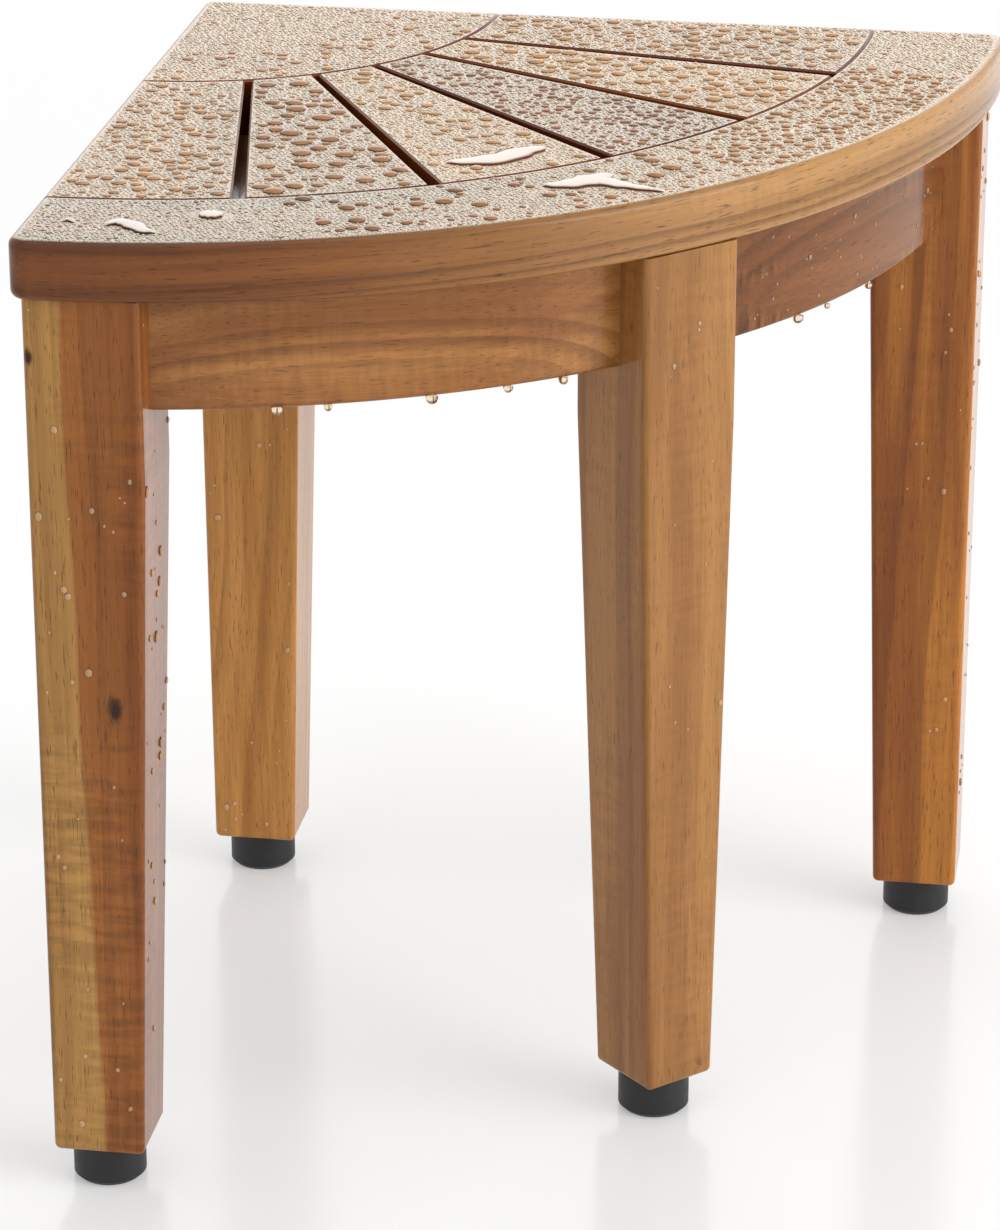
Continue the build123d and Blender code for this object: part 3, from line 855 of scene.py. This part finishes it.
# %% Puddles on the seat
def puddle_mesh(name, rows, rise, luck, stations=40, around=11):
    """A ribbon of water: an ellipse's upper half swept along a smooth curve through the rows' points."""
    rows = np.array(rows) * mm
    path, widths = rows[:, :2], rows[:, 2]
    shares = np.linspace(0, 1, len(path))
    where = (1 - np.cos(np.linspace(0, np.pi, stations))) / 2
    ends = np.concatenate([2 * path[:1] - path[1:2], path, 2 * path[-1:] - path[-2:-1]])
    near = np.clip((where * (len(path) - 1)).astype(int), 0, len(path) - 2)
    part = (where * (len(path) - 1) - near)[:, None]
    a, b, c, d = (ends[near + step] for step in range(4))
    centre = b + part * (c - a + part * (2 * a - 5 * b + 4 * c - d + part * (3 * b - a - 3 * c + d))) / 2
    width = np.interp(where, shares, widths) * np.sqrt(np.clip(1 - (2 * where - 1) ** 6, 0.0004, 1))
    width = width * (1 + 0.10 * np.sin(where * 23 + luck.random() * 6))
    heading = np.gradient(centre, axis=0)
    heading /= np.linalg.norm(heading, axis=1, keepdims=True)
    side = np.stack([-heading[:, 1], heading[:, 0]], 1)
    turn = np.linspace(0, np.pi, around)
    across = np.cos(turn)[None] * width[:, None] / 2
    level = np.sin(turn)[None] ** 0.45 * np.minimum(width * 0.30, rise)[:, None]
    plan = centre[:, None] + across[..., None] * side[:, None]
    height = seat_top + level - 0.05 * mm
    points = np.concatenate([plan, height[..., None]], 2)
    row = np.arange(stations - 1)[:, None] * around
    spot = np.arange(around)[None]
    low, high = (row + spot).ravel(), (row + (spot + 1) % around).ravel()
    faces = np.stack([low, high, high + around, low + around], 1).tolist()
    faces += [list(range(around))[::-1], list(range((stations - 1) * around, stations * around))]
    depth = np.broadcast_to(np.sin(turn), level.shape).ravel()
    return water_mesh(name, points, faces, depth), np.column_stack([centre, width / 2])


luck = np.random.default_rng(5)
# Each puddle: its board, and rows of x, y and width in mm
puddles = [
    (
        "seat_slat_3",
        [(-22.2, -38.6, 3), (-15.2, -36.4, 8), (-7.0, -32.0, 11), (-1.0, -23.9, 9), (4.6, -19.0, 6)],
    ),
    ("seat_front_rim", [(9.6, -56.8, 3), (16.0, -54.8, 8), (22.3, -49.7, 12), (27.9, -42.8, 6)]),
    ("seat_front_rim", [(24.5, -48.0, 8), (30.0, -51.5, 8), (36.1, -54.0, 5), (45.8, -56.9, 3)]),
    (
        "seat_front_rim",
        [
            (-107.7, -114.5, 2),
            (-104.4, -110.6, 6),
            (-99.5, -112.8, 7),
            (-95.2, -117.5, 5),
            (-91.4, -118.5, 2),
        ],
    ),
    ("seat_front_rim", [(-120.7, -112.8, 1), (-118.9, -110.8, 3), (-116.0, -112.9, 1)]),
    ("seat_front_rim", [(-83.0, -99.2, 6), (-79.6, -99.5, 8), (-76.2, -99.8, 6)]),
]
puddle_rise = 0.75 * mm
# Puddles are painted mostly pale, a painted highlight, with a painted line of shade round the foot
puddle_painted_light = {"foot": "9A6238", "glow": 0.72, "edge": (0.35, 0.85), "shine": "F7F0E4"}
puddle_points = {}
for number, (node, rows) in enumerate(puddles):
    mesh, line = puddle_mesh(f"puddle_{number}", rows, puddle_rise, luck)
    pale = drop_look(f"puddle_on_{node}_{number}", seat_looks[node], **puddle_painted_light)
    standing_water(f"puddle_{number}", mesh, pale)
    puddle_points.setdefault(node, []).append(line)
print("puddles:", len(puddles))


# %% [markdown]
# ## Beads on each board
# Each board has its own beads in the photograph: the second slat the biggest, the fourth many small dark
# ones, and the rim only small ones at its left end and a dense field of them towards its right. They
# could be placed one by one, but a table of sizes and sectors gives the same look and is easy to change.

# %% Put beads on the seat
any_reach = (0, 400)
any_turn = (0, 90)
# Each row: board, tries, smallest and largest radius in mm, and the sector that the beads keep to
bead_plan = [
    ("seat_corner_block", 260, 0.5, 1.1, (0, 60), any_turn),
    ("seat_corner_block", 330, 0.6, 1.9, (60, 99), any_turn),
    ("seat_slat_1", 520, 0.6, 2.2, any_reach, any_turn),
    ("seat_slat_2", 300, 0.7, 3.0, any_reach, any_turn),
    ("seat_slat_3", 240, 0.6, 2.2, any_reach, any_turn),
    ("seat_slat_4", 620, 0.6, 1.6, any_reach, any_turn),
    ("seat_slat_5", 420, 0.7, 2.6, any_reach, any_turn),
    ("seat_slat_6", 520, 0.7, 2.2, any_reach, any_turn),
    ("seat_front_rim", 500, 0.5, 0.8, any_reach, (0, 18)),
    ("seat_front_rim", 700, 0.6, 2.8, any_reach, (18, 50)),
    ("seat_front_rim", 2400, 0.7, 1.8, any_reach, (50, 78)),
    ("seat_front_rim", 500, 0.5, 0.9, any_reach, (78, 90)),
]
# Shares of painted pale highlight on the beads of some boards
bead_painted_highlight = {"seat_front_rim": 0.10, "seat_slat_4": 0.08, "seat_slat_2": 0.16}


def puddle_outline(node):
    """Points round the puddles on a board: eight round each station, half the width away."""
    line = np.concatenate(puddle_points[node])
    turns = np.linspace(0, 2 * np.pi, 9)[:-1]
    ring = np.stack([np.cos(turns), np.sin(turns)], 1) * line[:, None, 2:]
    ring = (line[:, None, :2] + ring).reshape(-1, 2)
    return np.column_stack([ring, np.full(len(ring), seat_top)])


luck = np.random.default_rng(11)
bead_count = 0
bead_centres = {}
for number, (node, tries, smallest, largest, reach, turn) in enumerate(bead_plan):
    radii = (smallest + (largest - smallest) * luck.random(tries) ** 2.6) * mm
    faces, normals = faces_towards(node, upward, dead_level)
    shunned = puddle_outline(node) if node in puddle_points else None
    places, radii, picked = scatter(faces, radii, luck, (reach, turn), shunned)
    shape = {"rise": 0.36, "stretch": 1.1, "luck": luck}
    mesh = dome_mesh(f"beads_{number}", places, normals[picked], rightward, radii, **shape)
    look = wet_look(node, seat_looks[node], glow=bead_painted_highlight.get(node, usual_painted_highlight))
    standing_water(f"beads_{number}_{node}", mesh, look)
    bead_count += len(radii)
    bead_centres.setdefault(node, []).append(np.column_stack([places[:, :2], radii]))
print("beads on the seat:", bead_count)

# %% [markdown]
# ## The finest beads
# Between the larger beads stand thousands a millimetre wide. A grid of rows, each shifted by half a step
# and every bead pushed a little off its place, packs them as closely as in the photograph. Each has only
# seven sides and two rings, which is enough at that size.

# %% Fill in with the finest beads
def left_of(start, end, points):
    """More than 0 for points on the left of a line from start to end, seen from above."""
    along, out = end - start, points - start
    return along[..., 0] * out[..., 1] - along[..., 1] * out[..., 0]


def inside(points, faces):
    """True for points that lie on any of the flat faces, seen from above."""
    a, b, c = (faces[None, :, corner, :2] for corner in range(3))
    points = points[:, None]
    sides = [left_of(a, b, points), left_of(b, c, points), left_of(c, a, points)]
    return (np.min(sides, axis=0) > 0).any(1)


luck = np.random.default_rng(31)
spacing = 1.50 * mm
row_share = 0.87
# The finest beads are painted mostly pale, a painted highlight, with a painted line of shade round the foot
fine_painted_light = {"foot": "A87C54", "glow": 0.82, "edge": (0.0, 0.45), "shine": "F6ECD8"}
fine_count = 0
for node in seat_looks:
    faces = faces_towards(node, upward, dead_level)[0]
    low, high = faces.min((0, 1))[:2], faces.max((0, 1))[:2]
    rows = np.arange(low[1], high[1], spacing * row_share)
    columns = np.arange(low[0], high[0], spacing)
    across, along = np.meshgrid(columns, rows)
    across = across + (np.arange(len(rows)) % 2)[:, None] * spacing / 2
    push = (luck.random((across.size, 2)) - 0.5) * 0.55 * spacing
    points = np.stack([across.ravel(), along.ravel()], 1) + push
    radii = (0.28 + 0.30 * luck.random(len(points)) ** 1.5) * mm
    here = inside(points, faces)
    points, radii = points[here], radii[here]
    edge = outline_points(faces)[:, :2]
    larger = np.concatenate(bead_centres[node])
    clear = np.full(len(points), True)
    for part in np.array_split(np.arange(len(points)), 12):
        out = np.linalg.norm(points[part, None] - edge[None], axis=2).min(1)
        away = np.linalg.norm(points[part, None] - larger[None, :, :2], axis=2) - larger[None, :, 2]
        clear[part] = (out > radii[part] + 0.1 * mm) & (away.min(1) > radii[part])
        if node in puddle_points:
            wet = np.concatenate(puddle_points[node])
            away = np.linalg.norm(points[part, None] - wet[None, :, :2], axis=2) - wet[None, :, 2]
            clear[part] &= away.min(1) > radii[part]
    points, radii = points[clear], radii[clear]
    places = np.column_stack([points, np.full(len(points), seat_top)])
    shape = {"rise": 0.62, "stretch": 1.05, "luck": luck, "profile": fine_profile, "segments": 7}
    mesh = dome_mesh(f"fine_{node}", places, upward, rightward, radii, **shape)
    look = drop_look(f"mist_{node}", seat_looks[node], **fine_painted_light)
    standing_water(f"fine_beads_{node}", mesh, look)
    fine_count += len(points)
print("fine beads:", fine_count)

# %% [markdown]
# ## Drops on the legs and aprons
# Spray also hangs on the upright faces: a few drops a millimetre or two across, taller than wide, in
# loose groups, and a row of heavier ones along the lower edges of the curved aprons.

# %% Put drops on the upright faces
upright_looks = {**apron_board_looks, **leg_looks}
# Drops on upright faces: a water tint, a painted line of shade round the foot and some painted pale highlight
upright_tint_and_painted_light = {"body": "FFE7C8", "foot": "8A5A38", "glow": 0.34}
# Each row: board, the way its face looks, tries, and smallest and largest radius in mm
drop_plan = [
    ("left_leg", (0, -1, 0), 34, 0.4, 1.3),
    ("left_leg", (1, 0, 0), 44, 0.4, 1.6),
    ("back_leg", (0, -1, 0), 36, 0.4, 1.1),
    ("middle_leg", (0.707, -0.707, 0), 16, 0.3, 0.9),
    ("right_leg", (0, -1, 0), 22, 0.4, 1.1),
    ("right_leg", (1, 0, 0), 40, 0.4, 1.4),
    ("front_apron_right", (0.85, -0.53, 0), 60, 0.3, 0.9),
]
luck = np.random.default_rng(23)
for number, (node, direction, tries, smallest, largest) in enumerate(drop_plan):
    faces, normals = faces_towards(node, direction, roughly_facing)
    radii = (smallest + (largest - smallest) * luck.random(tries) ** 2.5) * mm
    places, radii, picked = scatter(faces, radii, luck)
    shape = {"rise": 0.55, "stretch": 1.2, "luck": luck}
    mesh = dome_mesh(f"drops_{number}", places, normals[picked], upward, radii, **shape)
    look = wet_look(node, upright_looks[node], **upright_tint_and_painted_light)
    standing_water(f"drops_{number}_{node}", mesh, look)
print("groups of drops:", len(drop_plan))

# %% Hang drops from the curved aprons
hang_angles = np.radians([16.8, 20.2, 27.2, 32.6, 36.7, 57.6, 61.0, 66.5])
hang_reach = 251.5 * mm
apron_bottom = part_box("front_apron_right")[0].z
places = np.stack([np.sin(hang_angles), -np.cos(hang_angles), 0 * hang_angles], 1) * hang_reach
places += [square_corner.x, square_corner.y, apron_bottom]
radii = np.array([1.70, 1.36, 1.87, 1.445, 1.615, 1.785, 1.105, 1.275]) * mm
mesh = dome_mesh("hanging_drops", places, downward, rightward, radii, rise=1.1, stretch=1.0, luck=luck)
clear_water, tree, shader, place = new_material("clear_water")
shader.inputs["Base Color"].default_value = colour("F3E2C8")
shader.inputs["Transmission Weight"].default_value = 1.0
shader.inputs["Roughness"].default_value = 0.02
shader.inputs["IOR"].default_value = water_ior
standing_water("hanging_drops", mesh, clear_water)
print("hanging drops:", len(radii))
